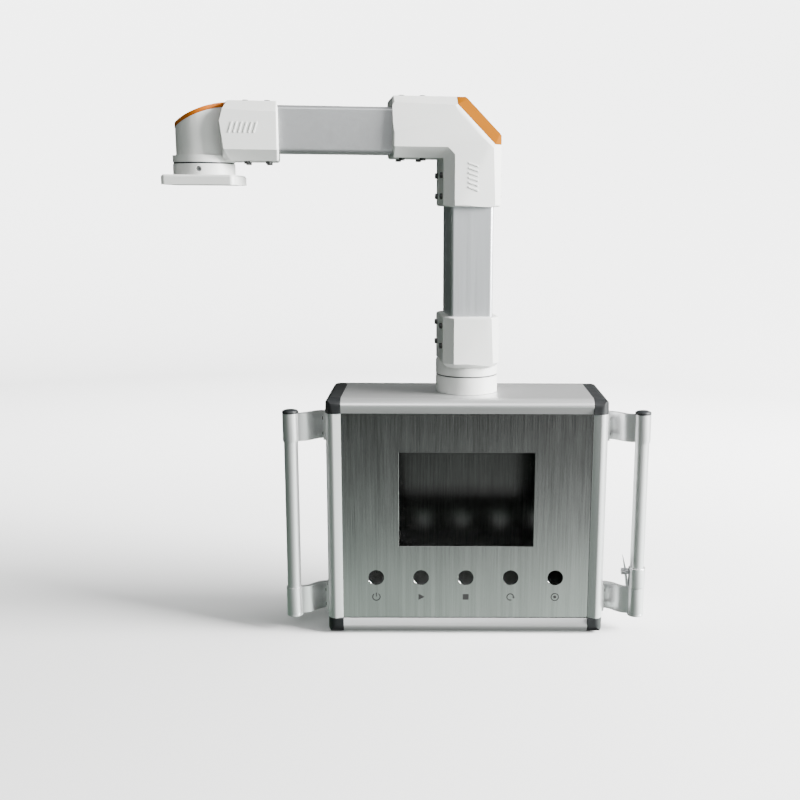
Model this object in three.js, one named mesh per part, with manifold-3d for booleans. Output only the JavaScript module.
// Cantilever support arm that carries an operator control box: two swivels, an elbow and two tubes.
// Millimetres, +Z up. The origin is the centre of the base plate's mounting face, +X runs along the box
// towards its right side and +Y away from the operator.
import * as THREE from 'three';
import { ConvexGeometry } from 'three/addons/geometries/ConvexGeometry.js';
import { mergeVertices } from 'three/addons/utils/BufferGeometryUtils.js';
import Module from 'manifold-3d';

const wasm = await Module();
wasm.setup();

// ---- driving dimensions ----
const GAP = 0.3;                       // clearance between pieces that touch
const ARM_REACH = 362;                 // between the two swivel axes
const ARM_YAW = THREE.MathUtils.degToRad(7.3);
const TUBE = { thick: 60, broad: 86, round: 5, wall: 3, entry: 42 };
const SOCKET = { thick: 80, broad: 105, chamfer: 14 };
const TUBE_Z = 73.5;                   // centre line of the horizontal tube
const HEAD = { under: 31.5, top: 108.5, end: 101, ring: 41.3, column: 36.5, ringTop: 38.5 };
const HEAD_ROOM = { x: 31, length: 62, width: 48, low: 52, high: 88 };  // cable room inside the head
// Where the head's round column meets its socket, as [x, half width, height]: the outer edge of the
// socket's left face, and that face's inner edge, sunk in the column.
const SHOULDER = {
  edge: [[36, 38.5, 108.5], [29.6, 50, 97], [25.5, 52.5, 81], [30, 52.5, 45.5], [37.6, 38.5, 31.5]],
  inner: [[33, 22, 108.5], [21.5, 27, 81], [25.5, 23.5, 31.5]],
};
const RIM = { bevel: 3.5, bevelSegments: 3 };         // rounded rim of each socket's open end
const ELBOW = { left: 252, under: 38, top: 118.5, bottom: -27, cornerCut: 50 };
const ELBOW_COVER = { thick: 15.8, run: 12 };        // run: its end face beyond the corner cut
const INNER_CORNER = 9.5;              // facet across the elbow's inner corner
const CORNER_CHAMFER = { along: 24, across: 11 };   // wide chamfer beside the elbow's corner cover
const FACET_TILT = THREE.MathUtils.degToRad(7);
// Faint creases across the castings' broad faces, each from one [x, z] point to another.
const CREASE = {
  elbowUpright: [[ARM_REACH - 10, ELBOW.bottom], [ARM_REACH + 19, 60]],
  elbowLevel: [[345, 92], [ELBOW.left, 68]],
  coupling: [[ARM_REACH - 10, -250], [ARM_REACH + 10, -200]],
};
const COUPLING = { top: -178, skirtTop: -250, radius: 44.7, bevel: 6 };
const SWIVEL_GAP = 2;                  // height of the washer gap between hub and casting
const JOURNAL = { outer: 26, inner: 20 };
const BUSH_OUTER = 29;
const PLATE = { size: 97, thick: 13, bevel: 2.5, corner: 6, screwPitch: 80, screwHole: 3.4 };
const BASE_HUB = { radius: 41.3, top: 27.5 };
const BOX = { width: 400, height: 348, depth: 144, top: -290 };
const BOX_HUB = { radius: 44.7, height: 24.5, spigot: 33, screwCircle: 39.5 };
const PROFILE = { lip: 22, skin: 4, round: 12, depth: 139 };
const CORNER_ROUND = 9;
const PANEL = { width: 366, height: 314, thick: 2 };
const DISPLAY = { width: 194, height: 139, centreZ: 200 };
const BUTTON_HOLE = { radius: 11.25, pitch: 65, count: 5, z: 83 };
const HANDLE = { x: 250, y: -56, radius: 10, sleeve: 11.5, bracket: 40, low: 26, high: 284 };
const HINGE = { x: 205, knuckle: 4.5, pin: 2, height: 40, lowZ: 50, highZ: 258 };
const LOCK = { x: -166, z: 174, barrel: 8, rosette: 12, core: 5, reach: 28 };

const FRONT = -BOX.depth / 2;
const FRAME_BACK = FRONT + PROFILE.depth;
const DOOR_BACK = BOX.depth / 2;

// ---- materials ----
const finish = (color, roughness, metalness) => () =>
  new THREE.MeshStandardMaterial({ color, roughness, metalness });
const castWhite = finish(0xe4e4df, 0.5, 0.1);
const orange = finish(0xe48c23, 0.45, 0.0);
const anodised = finish(0xb4b7b8, 0.4, 0.8);
const blackPlastic = finish(0x26282a, 0.6, 0.0);
const brushed = finish(0xa9adad, 0.35, 1.0);
const steel = finish(0x8d9092, 0.35, 1.0);
const brass = finish(0xb08d4a, 0.4, 1.0);
const rubber = finish(0x1c1c1c, 0.85, 0.0);

// ---- solids ----
function toSolid(geometry) {
  geometry.deleteAttribute('normal');
  geometry.deleteAttribute('uv');
  const merged = mergeVertices(geometry, 1e-4);
  return new wasm.Manifold(new wasm.Mesh({
    numProp: 3,
    vertProperties: new Float32Array(merged.attributes.position.array),
    triVerts: new Uint32Array(merged.index.array),
  }));
}

function toGeometry(solid) {
  const mesh = solid.getMesh();
  const geometry = new THREE.BufferGeometry();
  geometry.setAttribute('position', new THREE.BufferAttribute(mesh.vertProperties, 3));
  geometry.setIndex(new THREE.BufferAttribute(mesh.triVerts, 1));
  geometry.computeVertexNormals();
  return geometry;
}

function piece(name, solid, material) {
  const mesh = new THREE.Mesh(toGeometry(solid), material());
  mesh.name = name;
  return mesh;
}

const joined = (first, ...others) => others.reduce((sum, next) => sum.add(next), first);
const cut = (first, ...others) => others.reduce((rest, next) => rest.subtract(next), first);

// A shape extruded along Z from low to high; bevel chamfers both end faces, or rounds them in segments.
function prismGeometry(shape, low, high, { bevel = 0, bevelSegments = 1, curveSegments = 12 } = {}) {
  const geometry = new THREE.ExtrudeGeometry(shape, {
    depth: high - low - 2 * bevel,
    curveSegments,
    bevelEnabled: bevel > 0,
    bevelThickness: bevel,
    bevelSize: bevel,
    bevelOffset: -bevel,
    bevelSegments,
  });
  return geometry.translate(0, 0, low + bevel);
}

const prism = (shape, low, high, options) => toSolid(prismGeometry(shape, low, high, options));

// The same, with the shape's x and y laid along two given directions.
function prismAlong(shape, low, high, xAxis, yAxis, options) {
  const zAxis = new THREE.Vector3().crossVectors(xAxis, yAxis);
  const turn = new THREE.Matrix4().makeBasis(xAxis, yAxis, zAxis);
  return toSolid(prismGeometry(shape, low, high, options).applyMatrix4(turn));
}

const X = new THREE.Vector3(1, 0, 0);
const Y = new THREE.Vector3(0, 1, 0);
const Z = new THREE.Vector3(0, 0, 1);
const alongX = (shape, low, high, options) => prismAlong(shape, low, high, Y, Z, options);
// A shape drawn in x and z, extruded across from y = low to y = high.
const alongY = (shape, low, high, options) => prismAlong(shape, -high, -low, X, Z, options);

function rectangle(width, height, x = 0, y = 0) {
  return polygon([[x - width / 2, y - height / 2], [x + width / 2, y - height / 2],
    [x + width / 2, y + height / 2], [x - width / 2, y + height / 2]]);
}

function polygon(points) {
  return new THREE.Shape(points.map(([x, y]) => new THREE.Vector2(x, y)));
}

function circle(radius, x = 0, y = 0) {
  return new THREE.Shape().absarc(x, y, radius, 0, 2 * Math.PI);
}

function roundedRectangle(width, height, radius, x = 0, y = 0) {
  const shape = new THREE.Shape();
  const halfX = width / 2 - radius;
  const halfY = height / 2 - radius;
  const quarter = Math.PI / 2;
  shape.absarc(x + halfX, y + halfY, radius, 0, quarter);
  shape.absarc(x - halfX, y + halfY, radius, quarter, 2 * quarter);
  shape.absarc(x - halfX, y - halfY, radius, 2 * quarter, 3 * quarter);
  shape.absarc(x + halfX, y - halfY, radius, 3 * quarter, 4 * quarter);
  return shape;
}

function chamferedRectangle(width, height, chamfer, x = 0, y = 0) {
  const halfX = width / 2;
  const halfY = height / 2;
  const points = [];
  for (const [signX, signY] of [[1, 1], [-1, 1], [-1, -1], [1, -1]]) {
    const onSide = [x + signX * halfX, y + signY * (halfY - chamfer)];
    const onEnd = [x + signX * (halfX - chamfer), y + signY * halfY];
    points.push(...(signX * signY > 0 ? [onSide, onEnd] : [onEnd, onSide]));
  }
  return polygon(points);
}

const disc = (radius, low, high, curveSegments = 24, x = 0, y = 0) =>
  prism(circle(radius, x, y), low, high, { curveSegments });

function sleeve(outer, inner, low, high, curveSegments = 24, x = 0, y = 0) {
  return disc(outer, low, high, curveSegments, x, y)
    .subtract(disc(inner, low - 1, high + 1, curveSegments, x, y));
}

const block = (x, y, z, width, depth, height) =>
  toSolid(new THREE.BoxGeometry(width, depth, height).translate(x, y, z));

// Everything on one side of a plane that contains the Y direction; angle is the plane normal's, in XZ.
function beyond(x, z, angle) {
  const size = 900;
  const geometry = new THREE.BoxGeometry(size, size, size).translate(size / 2, 0, 0);
  return toSolid(geometry.rotateY(-angle).translate(x, 0, z));
}

// A round bar lying level, pointing outwards from the Z axis at the given angle.
function radialBar(radius, from, to, angle, z, curveSegments = 8) {
  const geometry = prismGeometry(circle(radius), from, to, { curveSegments });
  return toSolid(geometry.rotateY(Math.PI / 2).rotateZ(angle).translate(0, 0, z));
}

// ---- base flange, fixed to the machine ----
const BRAKE = { hole: 3.6, screw: 3.3, angle: THREE.MathUtils.degToRad(-88), drop: 6.9 };

function brakeScrew(hubRadius, angle, z) {
  const socketDepth = 3;
  const recess = 6;
  const outer = hubRadius - recess;
  const screw = radialBar(BRAKE.screw, JOURNAL.outer + GAP, outer, angle, z);
  return cut(screw, radialBar(1.5, outer - socketDepth, outer + 1, angle, z, 3));
}

function baseFlange() {
  const outline = roundedRectangle(PLATE.size, PLATE.size, PLATE.corner);
  const plate = cut(
    prism(outline, -3 * PLATE.bevel, PLATE.thick, { bevel: PLATE.bevel, curveSegments: 5 }),
    block(0, 0, -50, 2 * PLATE.size, 2 * PLATE.size, 100));
  const holes = [];
  for (const x of [-1, 1]) {
    for (const y of [-1, 1]) {
      const at = [x * PLATE.screwPitch / 2, y * PLATE.screwPitch / 2];
      holes.push(disc(PLATE.screwHole, -1, PLATE.thick + 1, 8, ...at));
    }
  }
  const hub = disc(BASE_HUB.radius, PLATE.thick - 1, BASE_HUB.top);
  return cut(
    joined(plate, hub),
    disc(BUSH_OUTER + GAP, -1, BASE_HUB.top + 1),
    disc(BUSH_OUTER + 5, -1, 5),
    radialBar(BRAKE.hole, JOURNAL.outer, BASE_HUB.radius + 2, BRAKE.angle, BASE_HUB.top - BRAKE.drop),
    ...holes);
}

function baseParts() {
  const brakeZ = BASE_HUB.top - BRAKE.drop;
  return [
    piece('base_flange', baseFlange(), castWhite),
    piece('base_bush', sleeve(BUSH_OUTER, JOURNAL.outer + GAP, 5 + GAP, 16), brass),
    piece('base_thrust_washer', sleeve(BASE_HUB.radius - 1, BUSH_OUTER,
      BASE_HUB.top + GAP, BASE_HUB.top + SWIVEL_GAP - GAP), blackPlastic),
    piece('base_brake_screw', brakeScrew(BASE_HUB.radius, BRAKE.angle, brakeZ), steel),
  ];
}

// ---- arm ----
const tubeSection = (grow, x, y) => roundedRectangle(
  TUBE.broad + 2 * grow, TUBE.thick + 2 * grow, TUBE.round + grow, x, y);
const uprightSection = (grow, x, y) => roundedRectangle(
  TUBE.thick + 2 * grow, TUBE.broad + 2 * grow, TUBE.round + grow, x, y);
const TUBE_CURVE = { curveSegments: 4 };
const HEAD_BASE = BASE_HUB.top + SWIVEL_GAP;
const HEAD_COVER = { thick: 5.6, half: 37, right: 34.4 };
const HEAD_SLOPE = { left: -41, leftZ: 77.5, bendX: -10, bendZ: 100.5, right: 37 };

// The space above the head's sloping top, lowered by drop.
function spaceAboveHead(drop) {
  const { left, leftZ, bendX, bendZ, right } = HEAD_SLOPE;
  const far = left - 50;
  const high = HEAD.top + 40;
  const shape = new THREE.Shape();
  shape.moveTo(far, leftZ - drop - 20);
  shape.lineTo(left, leftZ - drop);
  shape.quadraticCurveTo(bendX, bendZ - drop, right, HEAD.top - drop);
  shape.lineTo(right, high);
  shape.lineTo(far, high);
  return alongY(shape, -80, 80, { curveSegments: 10 });
}

// A wedge outside one broad face of a casting. It starts at a crease line drawn in x and z, and the face
// beyond that line falls away to the right of the line's direction by the facet's tilt.
function facetWedge([fromX, fromZ], [toX, toZ], side) {
  const size = 400;
  const geometry = new THREE.BoxGeometry(size, size, size).translate(size / 2, side * size / 2, 0);
  const lean = Math.atan2(toX - fromX, toZ - fromZ);
  geometry.rotateZ(-side * FACET_TILT).rotateY(lean);
  return toSolid(geometry.translate(fromX, side * SOCKET.broad / 2, fromZ));
}

const facetWedges = (from, to) => [-1, 1].map((side) => facetWedge(from, to, side));

// Bounds the head's socket on its left, where flat facets lead from the column out to the broad faces.
function shoulderBound() {
  const beyondEnd = HEAD.end + 10;
  const grown = 2;
  const low = HEAD.under - grown;
  const high = HEAD.top + grown;
  const inner = SOCKET.broad / 2 - SOCKET.chamfer + grown;
  const outer = SOCKET.broad / 2 + grown;
  const points = [
    ...SHOULDER.edge,
    ...SHOULDER.inner,
    [beyondEnd, inner, low],
    [beyondEnd, outer, low + SOCKET.chamfer],
    [beyondEnd, outer, high - SOCKET.chamfer],
    [beyondEnd, inner, high],
  ];
  const corners = points.flatMap(([x, y, z]) => [new THREE.Vector3(x, y, z), new THREE.Vector3(x, -y, z)]);
  return toSolid(new ConvexGeometry(corners));
}

function baseHead() {
  const height = HEAD.top - HEAD.under;
  const section = chamferedRectangle(SOCKET.broad, height, SOCKET.chamfer, 0, HEAD.under + height / 2);
  const outside = joined(
    disc(HEAD.ring, HEAD_BASE, HEAD.ringTop),
    disc(HEAD.column, HEAD_BASE, HEAD.top),
    alongX(section, 0, HEAD.end, RIM).intersect(shoulderBound()));
  return cut(
    outside,
    spaceAboveHead(0),
    spaceAboveHead(HEAD_COVER.thick + GAP).intersect(coverPlan(GAP)),
    disc(JOURNAL.outer + GAP, 0, 66 + GAP),
    disc(JOURNAL.inner, 60, 80),
    block(HEAD_ROOM.x, 0, (HEAD_ROOM.low + HEAD_ROOM.high) / 2,
      HEAD_ROOM.length, HEAD_ROOM.width, HEAD_ROOM.high - HEAD_ROOM.low),
    alongX(tubeSection(GAP, 0, TUBE_Z), HEAD.end - TUBE.entry - GAP, HEAD.end + 1, TUBE_CURVE));
}

// The cover's outline from above, as a tall solid: a disc over the column, cut straight at its right.
const coverPlan = (grow) => disc(HEAD_COVER.half + grow, 40, HEAD.top + 5)
  .subtract(beyond(HEAD_COVER.right + grow, 0, 0));

const headCover = () => coverPlan(0)
  .intersect(spaceAboveHead(HEAD_COVER.thick))
  .subtract(spaceAboveHead(0));

// Half the clear passage inside the tubes, which the elbow carries round its corner.
const PASSAGE = { thick: TUBE.thick - 2 * TUBE.wall, broad: TUBE.broad - 2 * TUBE.wall };
const diagonal = (x, z) => (x + z) / Math.SQRT2;
const COVER_OUTER = diagonal(
  ARM_REACH + SOCKET.thick / 2 - ELBOW.cornerCut / 2, ELBOW.top - ELBOW.cornerCut / 2);

function elbowOutside() {
  const height = ELBOW.top - ELBOW.under;
  const right = ARM_REACH + SOCKET.thick / 2;
  const innerX = ARM_REACH - SOCKET.thick / 2;
  const level = chamferedRectangle(SOCKET.broad, height, SOCKET.chamfer, 0, ELBOW.under + height / 2);
  const upright = chamferedRectangle(SOCKET.thick, SOCKET.broad, SOCKET.chamfer, ARM_REACH, 0);
  const overlap = 0.02;
  const legs = joined(
    alongX(level, ELBOW.left, right + 2 * RIM.bevel, RIM)
      .subtract(beyond(innerX, ELBOW.under, -Math.PI / 4)),
    prism(upright, ELBOW.bottom, ELBOW.top + 2 * RIM.bevel, RIM)
      .subtract(beyond(innerX - overlap, ELBOW.under + overlap, 3 * Math.PI / 4)),
    innerCornerFacet(-1),
    innerCornerFacet(1));
  return legs.intersect(diagonalBound());
}

// Fills the valley between the two legs' chamfers with a small three-sided facet, on one broad side.
function innerCornerFacet(side) {
  const x = ARM_REACH - SOCKET.thick / 2;
  const z = ELBOW.under;
  const c = SOCKET.chamfer;
  const broad = side * SOCKET.broad / 2;
  const shoulder = side * (SOCKET.broad / 2 - c);
  const face = [[x + c, z + c], [x + c - INNER_CORNER, z + c], [x + c, z + c - INNER_CORNER]];
  const points = face.flatMap(([px, pz]) => [[px, broad, pz], [px, shoulder, pz]]);
  points.push([x, shoulder, z]);
  return toSolid(new ConvexGeometry(points.map((p) => new THREE.Vector3(...p))));
}

// Bounds the elbow by its 45 degree corner face and that face's two chamfers.
function diagonalBound() {
  const { along, across } = CORNER_CHAMFER;
  const half = SOCKET.broad / 2;
  const face = polygon([[-half - across, -100], [half + across, -100],
    [half + across, COVER_OUTER - 2 * along], [half - across, COVER_OUTER],
    [across - half, COVER_OUTER], [-half - across, COVER_OUTER - 2 * along]]);
  const outward = new THREE.Vector3(1, 0, 1).normalize();
  return prismAlong(face, -600, 600, Y, outward);
}

const beyondDiagonal = (distance) =>
  beyond(distance / Math.SQRT2, distance / Math.SQRT2, Math.PI / 4);

// The corner cover's place in the elbow: a diagonal slab whose sharp ends are cut upright and level.
function coverSpace(grow) {
  const run = ELBOW.cornerCut + ELBOW_COVER.run + grow;
  return beyondDiagonal(COVER_OUTER - ELBOW_COVER.thick - grow)
    .intersect(beyond(ARM_REACH + SOCKET.thick / 2 - run, 0, 0))
    .intersect(beyond(0, ELBOW.top - run, Math.PI / 2));
}

function elbow() {
  const seat = COVER_OUTER - ELBOW_COVER.thick;
  const wall = 5;
  const levelEnd = ARM_REACH + PASSAGE.thick / 2;
  const uprightEnd = TUBE_Z + PASSAGE.thick / 2;
  const passage = joined(
    block((ELBOW.left + levelEnd) / 2, 0, TUBE_Z, levelEnd - ELBOW.left, PASSAGE.broad, PASSAGE.thick),
    block(ARM_REACH, 0, (ELBOW.bottom + uprightEnd) / 2, PASSAGE.thick, PASSAGE.broad,
      uprightEnd - ELBOW.bottom));
  return cut(
    elbowOutside(),
    coverSpace(GAP),
    passage.subtract(beyondDiagonal(seat - wall)),
    alongX(tubeSection(GAP, 0, TUBE_Z), ELBOW.left - 1, ELBOW.left + TUBE.entry + GAP, TUBE_CURVE),
    prism(uprightSection(GAP, ARM_REACH, 0), ELBOW.bottom - 1, ELBOW.bottom + TUBE.entry + GAP,
      TUBE_CURVE),
    ...facetWedges(...CREASE.elbowUpright),
    ...facetWedges(...CREASE.elbowLevel));
}

const elbowCover = () => elbowOutside().intersect(coverSpace(0));

function horizontalTube() {
  const from = HEAD.end - TUBE.entry;
  const to = ELBOW.left + TUBE.entry;
  return cut(
    alongX(tubeSection(0, 0, TUBE_Z), from, to, TUBE_CURVE),
    alongX(tubeSection(-TUBE.wall, 0, TUBE_Z), from - 1, to + 1, TUBE_CURVE));
}

function verticalTube() {
  const from = COUPLING.top - TUBE.entry;
  const to = ELBOW.bottom + TUBE.entry;
  return cut(
    prism(uprightSection(0, ARM_REACH, 0), from, to, TUBE_CURVE),
    prism(uprightSection(-TUBE.wall, ARM_REACH, 0), from - 1, to + 1, TUBE_CURVE));
}

const HUB_TOP = BOX.top + BOX_HUB.height;
const COUPLING_BASE = HUB_TOP + SWIVEL_GAP;
const COUPLING_SEAT = COUPLING_BASE + 38;      // top of the journal inside the coupling head

function couplingHead() {
  const section = chamferedRectangle(SOCKET.thick, SOCKET.broad, SOCKET.chamfer, ARM_REACH, 0);
  const body = prism(section, COUPLING.skirtTop, COUPLING.top + 2 * COUPLING.bevel,
    { bevel: COUPLING.bevel }).intersect(prism(section, 2 * COUPLING.skirtTop, COUPLING.top, RIM));
  const skirt = disc(COUPLING.radius, COUPLING_BASE, COUPLING.skirtTop + COUPLING.bevel + 1, 24, ARM_REACH);
  return cut(
    joined(body, skirt),
    disc(JOURNAL.outer + GAP, COUPLING_BASE - 1, COUPLING_SEAT + GAP, 24, ARM_REACH),
    disc(JOURNAL.inner, COUPLING_BASE, COUPLING.top, 24, ARM_REACH),
    prism(uprightSection(GAP, ARM_REACH, 0), COUPLING.top - TUBE.entry - GAP, COUPLING.top + 1,
      TUBE_CURVE),
    ...facetWedges(...CREASE.coupling));
}

const BASE_RETAINER_TOP = 4.5;
const BOX_RETAINER = { top: BOX.top - PROFILE.skin - 8 - GAP, thick: 6, radius: 34 };

function armParts() {
  const boxJournalEnd = BOX_RETAINER.top - BOX_RETAINER.thick - 4;
  const j = JOURNAL;
  return [
    piece('base_head', baseHead(), castWhite),
    piece('head_cover', headCover(), orange),
    piece('base_journal', sleeve(j.outer, j.inner, 0.5, 66), steel),
    piece('base_retaining_ring', sleeve(BUSH_OUTER + 4, j.outer + GAP, 0.5, BASE_RETAINER_TOP), steel),
    piece('horizontal_tube', horizontalTube(), anodised),
    piece('elbow', elbow(), castWhite),
    piece('elbow_cover', elbowCover(), orange),
    piece('vertical_tube', verticalTube(), anodised),
    piece('coupling_head', couplingHead(), castWhite),
    piece('box_journal', sleeve(j.outer, j.inner, boxJournalEnd, COUPLING_SEAT, 24, ARM_REACH), steel),
    piece('box_retaining_ring', sleeve(BOX_RETAINER.radius, j.outer + GAP,
      BOX_RETAINER.top - BOX_RETAINER.thick, BOX_RETAINER.top, 24, ARM_REACH), steel),
  ];
}

// ---- control box: local frame with its origin under the swivel axis at the box's underside ----
const hubScrewPlaces = [45, 135, 225, 315].map((degrees) => {
  const angle = THREE.MathUtils.degToRad(degrees);
  return [BOX_HUB.screwCircle * Math.cos(angle), BOX_HUB.screwCircle * Math.sin(angle)];
});
const HUB_SCREW = { shank: 3, head: 5, headHeight: 5, grip: 14 };
const BOX_BRAKE = { angle: THREE.MathUtils.degToRad(90), z: BOX.height + 17 };

function boxHub() {
  const flange = disc(BOX_HUB.radius, BOX.height + GAP, BOX.height + BOX_HUB.height);
  const spigot = disc(BOX_HUB.spigot, BOX.height - PROFILE.skin - 8, BOX.height + 2);
  const screwHoles = hubScrewPlaces.map(([x, y]) =>
    disc(HUB_SCREW.shank + GAP, BOX.height, BOX.height + HUB_SCREW.grip + GAP, 6, x, y));
  return cut(
    joined(flange, spigot),
    disc(BUSH_OUTER + GAP, 0, BOX.height + BOX_HUB.height + 1),
    radialBar(BRAKE.hole, JOURNAL.outer, BOX_HUB.radius + 2, BOX_BRAKE.angle, BOX_BRAKE.z),
    ...screwHoles);
}

function hubScrew([x, y]) {
  const underside = BOX.height - PROFILE.skin - GAP;
  return joined(
    disc(HUB_SCREW.head, underside - HUB_SCREW.headHeight, underside, 8, x, y),
    disc(HUB_SCREW.shank, underside - 1, BOX.height + HUB_SCREW.grip, 6, x, y));
}

// Half of the profile's C section: x runs from front to back and y inwards from the outer face.
function profileSection() {
  const { lip, skin, round } = PROFILE;
  const quarter = Math.PI / 2;
  const shape = new THREE.Shape();
  shape.moveTo(FRONT, lip);
  shape.absarc(FRONT + round, round, round, 2 * quarter, 3 * quarter);
  shape.absarc(FRAME_BACK - round, round, round, 3 * quarter, 4 * quarter);
  shape.lineTo(FRAME_BACK, lip);
  shape.lineTo(FRAME_BACK - skin, lip);
  shape.lineTo(FRAME_BACK - skin, skin + 2);
  shape.lineTo(FRONT + skin, skin + 2);
  shape.lineTo(FRONT + skin, lip);
  return shape;
}

// A profile whose outer face is at the given distance from the box's middle.
function profile(inward, distance, length) {
  const solid = prismAlong(profileSection(), -length / 2, length / 2, Y, inward, { curveSegments: 4 });
  const offset = inward.clone().multiplyScalar(-distance);
  return solid.translate([offset.x, offset.y, offset.z + BOX.height / 2]);
}

function topProfile(length) {
  const low = BOX.height - 20;
  return cut(
    profile(Z.clone().negate(), BOX.height / 2, length),
    disc(BOX_HUB.spigot + GAP, low, BOX.height + 1),
    ...hubScrewPlaces.map(([x, y]) => disc(HUB_SCREW.shank + GAP, low, BOX.height + 1, 6, x, y)),
    ...hubScrewPlaces.map(([x, y]) =>
      disc(HUB_SCREW.head + GAP, low, BOX.height - PROFILE.skin, 8, x, y)));
}

function cornerPost(signX, signZ) {
  const { lip } = PROFILE;
  const square = rectangle(lip, lip);
  const rounded = roundedRectangle(2 * lip, 2 * lip, CORNER_ROUND, -signX * lip / 2, -signZ * lip / 2);
  const x = signX * (BOX.width - lip) / 2;
  const z = BOX.height / 2 + signZ * (BOX.height - lip) / 2;
  const post = alongY(square, FRONT, FRAME_BACK)
    .intersect(alongY(rounded, FRONT, FRAME_BACK, { curveSegments: 5 }))
    .translate([x, 0, z]);
  const seatFront = FRONT + PROFILE.skin;
  const seat = block(0, seatFront + 4, BOX.height / 2, PANEL.width + 2, 8, PANEL.height + 2);
  return post.intersect(roundedBoxBound()).subtract(seat);
}

// The box's outer form seen from above and from the side, with its rounded long edges.
function roundedBoxBound() {
  const { depth, round } = PROFILE;
  const middleY = (FRONT + FRAME_BACK) / 2;
  const fromAbove = roundedRectangle(BOX.width, depth, round, 0, middleY);
  const fromSide = roundedRectangle(depth, BOX.height, round, middleY, BOX.height / 2);
  const smooth = { curveSegments: 4 };
  return prism(fromAbove, -1, BOX.height + 1, smooth)
    .intersect(alongX(fromSide, -BOX.width, BOX.width, smooth));
}

const PANEL_FRONT = FRONT + PROFILE.skin + 1.8;

function frontPanel() {
  const middle = BOX.height / 2;
  const plate = alongY(
    rectangle(PANEL.width, PANEL.height, 0, middle), PANEL_FRONT, PANEL_FRONT + PANEL.thick);
  const display = block(0, PANEL_FRONT, DISPLAY.centreZ, DISPLAY.width, 20, DISPLAY.height);
  const holes = [];
  for (let i = 0; i < BUTTON_HOLE.count; i += 1) {
    const x = (i - (BUTTON_HOLE.count - 1) / 2) * BUTTON_HOLE.pitch;
    holes.push(alongY(circle(BUTTON_HOLE.radius, x, BUTTON_HOLE.z), PANEL_FRONT - 5, PANEL_FRONT + 5,
      { curveSegments: 14 }));
  }
  return cut(plate, display, ...holes);
}

function frameGasket(outerWidth, outerHeight, border, front, back) {
  const middle = BOX.height / 2;
  return cut(
    alongY(rectangle(outerWidth, outerHeight, 0, middle), front, back),
    alongY(rectangle(outerWidth - 2 * border, outerHeight - 2 * border, 0, middle), front - 1, back + 1));
}

function boxShellParts() {
  const acrossLength = BOX.width - 2 * PROFILE.lip - 2 * GAP;
  const uprightLength = BOX.height - 2 * PROFILE.lip - 2 * GAP;
  const seat = FRONT + PROFILE.skin;
  const parts = [
    piece('profile_top', topProfile(acrossLength), anodised),
    piece('profile_bottom', profile(Z, BOX.height / 2, acrossLength), anodised),
    piece('profile_left', profile(X, BOX.width / 2, uprightLength), anodised),
    piece('profile_right', profile(X.clone().negate(), BOX.width / 2, uprightLength), anodised),
    piece('front_panel', frontPanel(), brushed),
    piece('front_gasket', frameGasket(PANEL.width, PANEL.height, 4, seat + GAP, PANEL_FRONT - GAP), rubber),
    piece('box_hub', boxHub(), castWhite),
    piece('box_hub_bush', sleeve(BUSH_OUTER, JOURNAL.outer + GAP, BOX.height - 8, BOX.height + 11), brass),
    piece('box_thrust_washer', sleeve(BOX_HUB.radius - 1, BUSH_OUTER,
      BOX.height + BOX_HUB.height + GAP, BOX.height + BOX_HUB.height + SWIVEL_GAP - GAP), blackPlastic),
    piece('box_brake_screw', brakeScrew(BOX_HUB.radius, BOX_BRAKE.angle, BOX_BRAKE.z), steel),
  ];
  for (const [upDown, signZ] of [['top', 1], ['bottom', -1]]) {
    for (const [leftRight, signX] of [['left', -1], ['right', 1]]) {
      parts.push(piece(`corner_${upDown}_${leftRight}`, cornerPost(signX, signZ), blackPlastic));
    }
  }
  hubScrewPlaces.forEach((place, i) => parts.push(piece(`hub_screw_${i + 1}`, hubScrew(place), steel)));
  return parts;
}

// ---- side handles ----
// An S-curved web from the box's side to the sleeve that holds the handle tube.
function bracketWeb(side) {
  const halfWeb = 3.5;
  const steps = 8;
  const at = (x, y) => new THREE.Vector2(side * x, y);
  const wall = BOX.width / 2;
  const curve = new THREE.CubicBezierCurve(
    at(wall + 2, -34), at(wall + 24, -34), at(wall + 18, HANDLE.y), at(HANDLE.x - 6, HANDLE.y));
  const outer = [];
  const inner = [];
  for (let i = 0; i <= steps; i += 1) {
    const point = curve.getPoint(i / steps);
    const normal = curve.getTangent(i / steps).rotateAround(new THREE.Vector2(), Math.PI / 2);
    outer.push(point.clone().addScaledVector(normal, halfWeb));
    inner.unshift(point.clone().addScaledVector(normal, -halfWeb));
  }
  return new THREE.Shape([...outer, ...inner]);
}

function handleBracket(side, low) {
  const high = low + HANDLE.bracket;
  const footX = side * (BOX.width / 2 + GAP + 2);
  return cut(
    joined(
      prism(bracketWeb(side), low, high),
      disc(HANDLE.sleeve, low, high, 12, side * HANDLE.x, HANDLE.y),
      block(footX, -36, (low + high) / 2, 4, 30, HANDLE.bracket)),
    disc(HANDLE.radius + GAP, low - 1, high + 1, 12, side * HANDLE.x, HANDLE.y));
}

function handleParts(name, side) {
  const bottom = HANDLE.low;
  const top = HANDLE.high + HANDLE.bracket;
  const capThick = 3;
  const x = side * HANDLE.x;
  const cap = (low) => disc(HANDLE.sleeve, low, low + capThick, 12, x, HANDLE.y);
  return [
    piece(`${name}_handle_bracket_lower`, handleBracket(side, HANDLE.low), anodised),
    piece(`${name}_handle_bracket_upper`, handleBracket(side, HANDLE.high), anodised),
    piece(`${name}_handle_tube`,
      sleeve(HANDLE.radius, HANDLE.radius - 2, bottom, top, 12, x, HANDLE.y), anodised),
    piece(`${name}_handle_cap_lower`, cap(bottom - GAP - capThick), anodised),
    piece(`${name}_handle_cap_upper`, cap(top + GAP), blackPlastic),
  ];
}

// ---- clip on the right handle ----
const CLIP = { radius: 12.2, low: 66.6, high: 96, knobZ: 90, stem: 2, knob: 4.4 };

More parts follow.
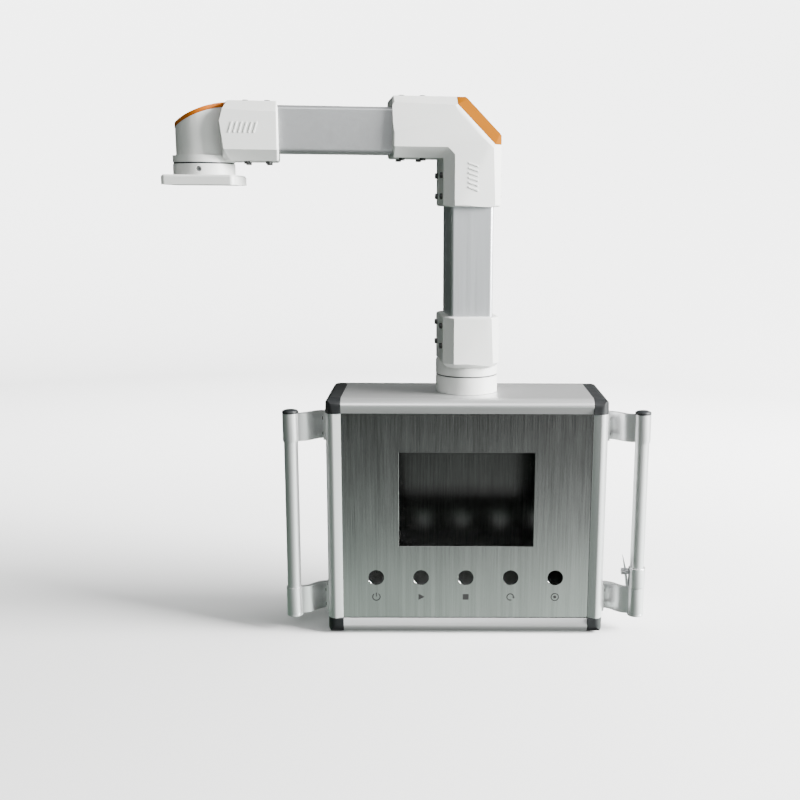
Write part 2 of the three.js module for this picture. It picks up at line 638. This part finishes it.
function clipCollar() {
  return cut(
    sleeve(CLIP.radius, HANDLE.radius + GAP, CLIP.low, CLIP.high, 12, HANDLE.x, HANDLE.y),
    clipBar(CLIP.stem + GAP, HANDLE.x - 20, HANDLE.x));
}

const clipBar = (radius, from, to) =>
  alongX(circle(radius, HANDLE.y, CLIP.knobZ), from, to, { curveSegments: 6 });

function clipLeaf() {
  const face = HANDLE.x - CLIP.radius - GAP;
  const shape = new THREE.Shape();
  shape.moveTo(face + 0.5, 68);
  shape.quadraticCurveTo(face - 2, 92, face - 9, 115);
  shape.quadraticCurveTo(face - 5, 92, face - 2.5, 68);
  const blade = alongY(shape, HANDLE.y - 4, HANDLE.y + 4, { curveSegments: 8 });
  const pad = alongX(circle(4.5, HANDLE.y, CLIP.knobZ), face - 4, face - 0.2, { curveSegments: 8 });
  const room = disc(CLIP.radius + GAP, 60, 120, 12, HANDLE.x, HANDLE.y);
  const knobRoom = clipBar(CLIP.knob * 1.2 + GAP, face - 14, face - 4);
  return cut(joined(blade, pad), room, knobRoom, clipBar(CLIP.stem + GAP, face - 20, HANDLE.x));
}

function clipKnob() {
  const lobes = 6;
  const face = HANDLE.x - CLIP.radius - GAP - 4 - GAP;
  const points = [];
  for (let i = 0; i < lobes * 4; i += 1) {
    const angle = (i / (lobes * 4)) * 2 * Math.PI;
    const radius = CLIP.knob * (1 + 0.12 * Math.cos(lobes * angle));
    points.push([HANDLE.y + radius * Math.cos(angle), CLIP.knobZ + radius * Math.sin(angle)]);
  }
  return joined(
    alongX(polygon(points), face - 6, face),
    clipBar(CLIP.stem, face - 2, HANDLE.x - HANDLE.radius - 2 * GAP));
}

// ---- rear door with its hinges and lock ----
const DOOR = { width: 396, height: 344, thick: 2.7, hole: LOCK.barrel + GAP };
const DOOR_FRONT = DOOR_BACK - DOOR.thick;
const HINGE_Y = (DOOR_FRONT + DOOR_BACK) / 2;

function rearDoor() {
  const middle = BOX.height / 2;
  return cut(
    alongY(roundedRectangle(DOOR.width, DOOR.height, 6, 0, middle), DOOR_FRONT, DOOR_BACK,
      { curveSegments: 4 }),
    alongY(circle(DOOR.hole, LOCK.x, LOCK.z), DOOR_FRONT - 1, DOOR_BACK + 1, { curveSegments: 10 }));
}

const knuckle = (low, high) => disc(HINGE.knuckle, low, high, 8, HINGE.x, HINGE_Y);
const pinHole = (low) => disc(HINGE.pin + GAP, low - 1, low + HINGE.height + 1, 8, HINGE.x, HINGE_Y);

function frameLeaf(low) {
  const half = HINGE.height / 2;
  const x = BOX.width / 2 + GAP + 1.25;
  const clearY = HINGE_Y - HINGE.knuckle - 2 * GAP;
  return cut(
    joined(
      block(x, (40 + clearY) / 2, low + half, 2.5, clearY - 40, HINGE.height),
      block(x, HINGE_Y - 4, low + half / 2 - GAP / 2, 2.5, 8, half - GAP),
      knuckle(low, low + half - GAP)),
    pinHole(low));
}

function doorLeaf(low) {
  const half = HINGE.height / 2;
  const left = 165;
  const y = DOOR_BACK + GAP + 1.2;
  const fromX = BOX.width / 2 - 2;
  return cut(
    joined(
      block((left + fromX) / 2, y, low + half, fromX - left, 2.4, HINGE.height),
      block((fromX + HINGE.x) / 2 - 1, y, low + 1.5 * half + GAP / 2, HINGE.x - fromX + 2, 2.4, half - GAP),
      knuckle(low + half + GAP, low + HINGE.height)),
    pinHole(low));
}

const hingePin = (low) => disc(HINGE.pin, low - 2, low + HINGE.height + 2, 8, HINGE.x, HINGE_Y);

function hingeParts(name, low) {
  return {
    onFrame: [
      piece(`${name}_hinge_frame_leaf`, frameLeaf(low), blackPlastic),
      piece(`${name}_hinge_pin`, hingePin(low), steel),
    ],
    onDoor: [piece(`${name}_hinge_door_leaf`, doorLeaf(low), blackPlastic)],
  };
}

function lockBody() {
  const shape = (radius) => circle(radius, LOCK.x, LOCK.z);
  const rosette = alongY(shape(LOCK.rosette), DOOR_BACK + GAP, DOOR_BACK + 3, { curveSegments: 12 });
  const barrel = alongY(shape(LOCK.barrel), FRAME_BACK - 5, DOOR_BACK + 1, { curveSegments: 10 });
  const bore = alongY(shape(LOCK.core + GAP), 0, 100, { curveSegments: 8 });
  return cut(joined(rosette, barrel), bore);
}

function lockCore() {
  const shape = circle(LOCK.core, LOCK.x, LOCK.z);
  const back = DOOR_BACK + 4;
  const camFront = FRAME_BACK - 9;
  const camThick = 3.2;
  const turnSlot = block(LOCK.x, back, LOCK.z, 1.6, 3, 7);
  return cut(
    joined(
      alongY(shape, camFront, back, { curveSegments: 8 }),
      alongY(roundedRectangle(12, LOCK.reach + 6, 5.9, LOCK.x, LOCK.z + LOCK.reach / 2 - 3),
        camFront, camFront + camThick, { curveSegments: 4 })),
    turnSlot);
}

// ---- assembly ----
const lowHinge = hingeParts('lower', HINGE.lowZ);
const highHinge = hingeParts('upper', HINGE.highZ);
const doorGasket = frameGasket(DOOR.width - 4, DOOR.height - 4, 16, FRAME_BACK + GAP, DOOR_FRONT - GAP);

const arm = new THREE.Group();
arm.rotation.z = ARM_YAW;
arm.add(...armParts());

const controlBox = new THREE.Group();
controlBox.position.set(ARM_REACH * Math.cos(ARM_YAW), ARM_REACH * Math.sin(ARM_YAW), BOX.top - BOX.height);
controlBox.add(
  ...boxShellParts(),
  ...handleParts('left', -1),
  ...handleParts('right', 1),
  piece('clip_collar', clipCollar(), anodised),
  piece('clip_leaf', clipLeaf(), steel),
  piece('clip_knob', clipKnob(), steel),
  piece('rear_door', rearDoor(), anodised),
  piece('door_gasket', doorGasket, rubber),
  piece('door_lock_body', lockBody(), steel),
  piece('door_lock_core', lockCore(), steel),
  ...[lowHinge, highHinge].flatMap((hinge) => [...hinge.onFrame, ...hinge.onDoor]),
);

const assembly = new THREE.Group();
assembly.add(...baseParts(), arm, controlBox);

export default assembly;
